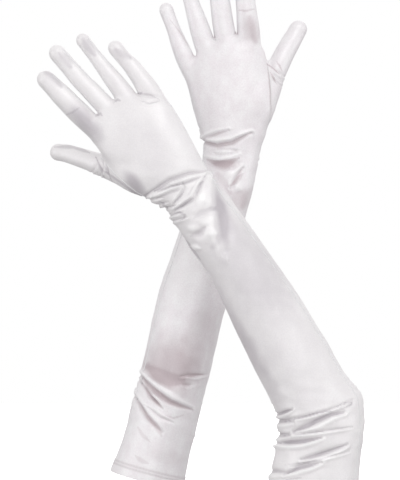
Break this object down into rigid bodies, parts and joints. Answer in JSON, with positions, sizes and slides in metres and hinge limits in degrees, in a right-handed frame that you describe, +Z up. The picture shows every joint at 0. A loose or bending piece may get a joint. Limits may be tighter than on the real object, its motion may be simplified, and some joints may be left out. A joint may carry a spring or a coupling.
{
  "type": "opera gloves",
  "caption": "Pair of long white satin opera gloves with fitted fingers, set-in thumbs and turned hems, in the shape of two raised crossed arms.",
  "frame": {"origin": "centre of the left glove's arm opening, at the hem's edge", "axes": "+Z up towards the fingertips, +X to the viewer's right when the backs of the hands are seen, +Y away from that viewer, towards the palms"},
  "size_m": [0.2983, 0.1501, 0.4991],
  "materials": {
    "white_satin": "white stretch satin with a soft sheen",
    "hem_satin": "the same satin, folded double",
    "fourchette_satin": "the same satin, cut on the cross grain",
    "sewing_thread": "white polyester thread"
  },
  "bodies": {
    "left_arm_top": {"left_hem_band": "hem_satin", "left_hem_stitching": "sewing_thread", "left_upper_sleeve": "white_satin", "left_upper_seam": "sewing_thread", "left_elbow_section": "white_satin"},
    "left_forearm": {"left_forearm_sleeve": "white_satin", "left_forearm_seam": "sewing_thread", "left_wrist_section": "white_satin"},
    "left_hand": {"left_hand_and_palm": "white_satin", "left_thumb_gusset": "white_satin", "left_index_knuckle_section": "white_satin", "left_middle_knuckle_section": "white_satin", "left_ring_knuckle_section": "white_satin", "left_little_knuckle_section": "white_satin"},
    "left_thumb": {"left_thumb_stall": "white_satin"},
    "left_index_finger": {"left_index_finger_stall": "white_satin", "left_index_fourchette": "fourchette_satin"},
    "left_middle_finger": {"left_middle_finger_stall": "white_satin", "left_middle_fourchettes": "fourchette_satin"},
    "left_ring_finger": {"left_ring_finger_stall": "white_satin", "left_ring_fourchettes": "fourchette_satin"},
    "left_little_finger": {"left_little_finger_stall": "white_satin", "left_little_fourchette": "fourchette_satin"},
    "right_arm_top": {"right_hem_band": "hem_satin", "right_hem_stitching": "sewing_thread", "right_upper_sleeve": "white_satin", "right_upper_seam": "sewing_thread", "right_elbow_section": "white_satin"},
    "right_forearm": {"right_forearm_sleeve": "white_satin", "right_forearm_seam": "sewing_thread", "right_wrist_section": "white_satin"},
    "right_hand": {"right_hand_and_palm": "white_satin", "right_thumb_gusset": "white_satin", "right_index_knuckle_section": "white_satin", "right_middle_knuckle_section": "white_satin", "right_ring_knuckle_section": "white_satin", "right_little_knuckle_section": "white_satin"},
    "right_thumb": {"right_thumb_stall": "white_satin"},
    "right_index_finger": {"right_index_finger_stall": "white_satin", "right_index_fourchette": "fourchette_satin"},
    "right_middle_finger": {"right_middle_finger_stall": "white_satin", "right_middle_fourchettes": "fourchette_satin"},
    "right_ring_finger": {"right_ring_finger_stall": "white_satin", "right_ring_fourchettes": "fourchette_satin"},
    "right_little_finger": {"right_little_finger_stall": "white_satin", "right_little_fourchette": "fourchette_satin"}
  },
  "joints": [
    {"name": "pair_part", "type": "slide", "parent": "left_arm_top", "child": "right_arm_top", "axis": [0, -1, 0], "range_m": [0, 0.25]},
    {"name": "left_elbow", "type": "hinge", "parent": "left_arm_top", "child": "left_forearm", "pos_m": [0.02273, 0, 0.08605], "axis": [0, -1, 0], "range_deg": [0, 88], "deforming": ["left_elbow_section"]},
    {"name": "left_wrist", "type": "hinge", "parent": "left_forearm", "child": "left_hand", "pos_m": [0.08172, 0, 0.31249], "axis": [-0.999, 0, 0.0436], "range_deg": [-40, 50], "deforming": ["left_wrist_section"]},
    {"name": "left_thumb_root", "type": "hinge", "parent": "left_hand", "child": "left_thumb", "pos_m": [0.11954, 0.00728, 0.38156], "axis": [-0.8755, 0, 0.4833], "range_deg": [-10, 35], "deforming": ["left_thumb_gusset"]},
    {"name": "left_index_knuckle", "type": "hinge", "parent": "left_hand", "child": "left_index_finger", "pos_m": [0.09419, 0, 0.42286], "axis": [-0.9968, 0, -0.0802], "range_deg": [-10, 80], "deforming": ["left_index_knuckle_section"]},
    {"name": "left_middle_knuckle", "type": "hinge", "parent": "left_hand", "child": "left_middle_finger", "pos_m": [0.07442, 0, 0.41565], "axis": [-0.9874, 0, -0.1582], "range_deg": [-10, 80], "deforming": ["left_middle_knuckle_section"]},
    {"name": "left_ring_knuckle", "type": "hinge", "parent": "left_hand", "child": "left_ring_finger", "pos_m": [0.05421, 0, 0.40825], "axis": [-0.9608, 0, -0.2773], "range_deg": [-10, 80], "deforming": ["left_ring_knuckle_section"]},
    {"name": "left_little_knuckle", "type": "hinge", "parent": "left_hand", "child": "left_little_finger", "pos_m": [0.03457, 0, 0.4009], "axis": [-0.9391, 0, -0.3437], "range_deg": [-10, 80], "deforming": ["left_little_knuckle_section"]},
    {"name": "right_elbow", "type": "hinge", "parent": "right_arm_top", "child": "right_forearm", "pos_m": [0.15898, -0.072, 0.07673], "axis": [0, -1, 0], "range_deg": [-35, 45], "deforming": ["right_elbow_section"]},
    {"name": "right_wrist", "type": "hinge", "parent": "right_forearm", "child": "right_hand", "pos_m": [0.03291, -0.072, 0.27386], "axis": [-0.81, 0, -0.5864], "range_deg": [-40, 50], "deforming": ["right_wrist_section"]},
    {"name": "right_thumb_root", "type": "hinge", "parent": "right_hand", "child": "right_thumb", "pos_m": [-0.04143, -0.05776, 0.29177], "axis": [-0.2554, 0, -0.9668], "range_deg": [-10, 35], "deforming": ["right_thumb_gusset"]},
    {"name": "right_index_knuckle", "type": "hinge", "parent": "right_hand", "child": "right_index_finger", "pos_m": [-0.05856, -0.072, 0.33696], "axis": [-0.6972, 0, -0.7169], "range_deg": [-10, 80], "deforming": ["right_index_knuckle_section"]},
    {"name": "right_middle_knuckle", "type": "hinge", "parent": "right_hand", "child": "right_middle_finger", "pos_m": [-0.04012, -0.072, 0.34711], "axis": [-0.7524, 0, -0.6587], "range_deg": [-10, 80], "deforming": ["right_middle_knuckle_section"]},
    {"name": "right_ring_knuckle", "type": "hinge", "parent": "right_hand", "child": "right_ring_finger", "pos_m": [-0.02172, -0.072, 0.35714], "axis": [-0.7965, 0, -0.6046], "range_deg": [-10, 80], "deforming": ["right_ring_knuckle_section"]},
    {"name": "right_little_knuckle", "type": "hinge", "parent": "right_hand", "child": "right_little_finger", "pos_m": [-0.0038, -0.072, 0.36678], "axis": [-0.8049, 0, -0.5934], "range_deg": [-10, 80], "deforming": ["right_little_knuckle_section"]}
  ]
}
